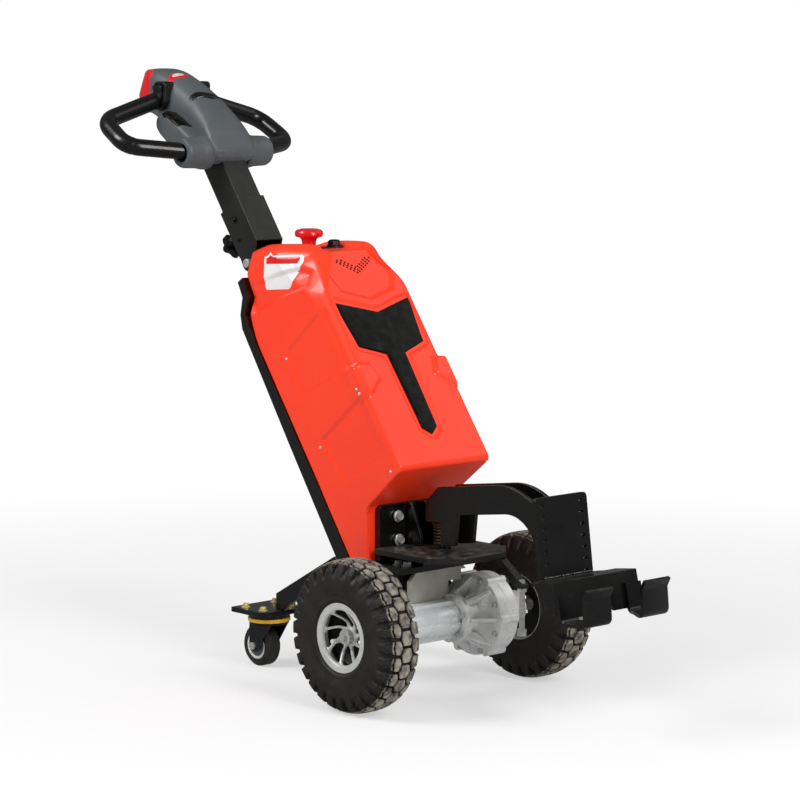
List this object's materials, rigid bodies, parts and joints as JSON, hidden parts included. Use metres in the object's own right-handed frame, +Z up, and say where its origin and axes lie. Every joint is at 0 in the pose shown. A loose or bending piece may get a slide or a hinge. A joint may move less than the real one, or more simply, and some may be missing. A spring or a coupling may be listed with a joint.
{
  "type": "walk-behind electric tug",
  "caption": "Walk-behind battery tug with two drive wheels, rear swivel wheels, folding tiller with loop handles and a swinging tow arm with open hooks.",
  "frame": {"origin": "middle of the whole machine's box, on the floor", "axes": "+X towards the tow hooks, +Y to the machine's left, +Z up"},
  "size_m": [1.2628, 0.4868, 1.061],
  "materials": {
    "housing_red": "gloss moulded skin",
    "stop_red": "gloss",
    "gloss_black": "gloss",
    "frame_black": "gloss black paint",
    "motor_black": "satin black paint",
    "zinc_plate": "dull zinc",
    "cast_aluminium": "sand cast",
    "bright_steel": "bright",
    "spring_steel": "browned",
    "tyre_rubber": "matt",
    "caster_rubber": "satin",
    "caster_hub_white": "satin",
    "rim_grey": "painted",
    "race_gold": "plated",
    "head_grey": "satin",
    "handle_black": "satin",
    "battery_grey": "satin"
  },
  "bodies": {
    "chassis": {"housing": "housing_red", "housing_inlay": "gloss_black", "battery_block": "battery_grey", "estop_button": "stop_red", "top_socket": "handle_black", "back_frame": "frame_black", "base_plate": "frame_black", "mount_plate": "zinc_plate", "body_bracket": "frame_black", "deck_plate": "frame_black", "deck_brace": "frame_black", "hanging_bolt": "bright_steel", "gearbox_housing": "cast_aluminium", "axle_tube": "cast_aluminium", "drive_motor": "motor_black", "pivot_post": "frame_black", "tiller_stub": "frame_black", "caster_carrier_right": "frame_black", "caster_race_right": "frame_black", "caster_carrier_left": "frame_black", "caster_race_left": "frame_black"},
    "tow_arm": {"arm_cheeks": "frame_black", "arm_pivot_sleeve": "frame_black", "arm_spring": "spring_steel", "hitch_plate": "frame_black", "tow_bar": "frame_black", "tow_hooks": "frame_black"},
    "tiller_sleeve": {"tiller_sleeve": "frame_black", "tiller_fold_pin": "bright_steel", "tiller_star_knob": "handle_black"},
    "tiller_tube": {"tiller_tube": "frame_black", "head_shell": "head_grey", "head_side_panels": "handle_black", "belly_button": "stop_red", "thumb_wheels": "handle_black", "handle_loops": "handle_black"},
    "wheel_right": {"wheel_tyre_right": "tyre_rubber", "wheel_rim_right": "rim_grey", "wheel_shaft_right": "bright_steel"},
    "caster_swivel_right": {"caster_fork_right": "frame_black", "caster_ring_right": "race_gold", "caster_pin_right": "bright_steel"},
    "caster_wheel_right": {"caster_tyre_right": "caster_rubber", "caster_hub_right": "caster_hub_white"},
    "wheel_left": {"wheel_tyre_left": "tyre_rubber", "wheel_rim_left": "rim_grey", "wheel_shaft_left": "bright_steel"},
    "caster_swivel_left": {"caster_fork_left": "frame_black", "caster_ring_left": "race_gold", "caster_pin_left": "bright_steel"},
    "caster_wheel_left": {"caster_tyre_left": "caster_rubber", "caster_hub_left": "caster_hub_white"}
  },
  "joints": [
    {"name": "wheel_spin_right", "type": "hinge", "parent": "chassis", "child": "wheel_right", "pos_m": [0.20329, -0.2055, 0.13], "axis": [0, 1, 0], "continuous": true},
    {"name": "caster_swivel_right", "type": "hinge", "parent": "chassis", "child": "caster_swivel_right", "pos_m": [-0.16871, -0.08, 0.0844], "axis": [0, 0, 1], "continuous": true},
    {"name": "caster_spin_right", "type": "hinge", "parent": "caster_swivel_right", "child": "caster_wheel_right", "pos_m": [-0.18871, -0.08, 0.0375], "axis": [0, 1, 0], "continuous": true},
    {"name": "wheel_spin_left", "type": "hinge", "parent": "chassis", "child": "wheel_left", "pos_m": [0.20329, 0.2055, 0.13], "axis": [0, 1, 0], "continuous": true},
    {"name": "caster_swivel_left", "type": "hinge", "parent": "chassis", "child": "caster_swivel_left", "pos_m": [-0.16871, 0.08, 0.0844], "axis": [0, 0, 1], "continuous": true},
    {"name": "caster_spin_left", "type": "hinge", "parent": "caster_swivel_left", "child": "caster_wheel_left", "pos_m": [-0.18871, 0.08, 0.0375], "axis": [0, 1, 0], "continuous": true},
    {"name": "tow_arm_yaw", "type": "hinge", "parent": "chassis", "child": "tow_arm", "pos_m": [0.20329, 0, 0.345], "axis": [0, 0, 1], "range_deg": [-45, 45]},
    {"name": "tiller_fold", "type": "hinge", "parent": "chassis", "child": "tiller_sleeve", "pos_m": [-0.28163, 0, 0.7152], "axis": [0, -1, 0], "range_deg": [0, 55]},
    {"name": "tiller_slide", "type": "slide", "parent": "tiller_sleeve", "child": "tiller_tube", "axis": [-0.5736, 0, 0.8192], "range_m": [-0.03, 0.03]}
  ]
}
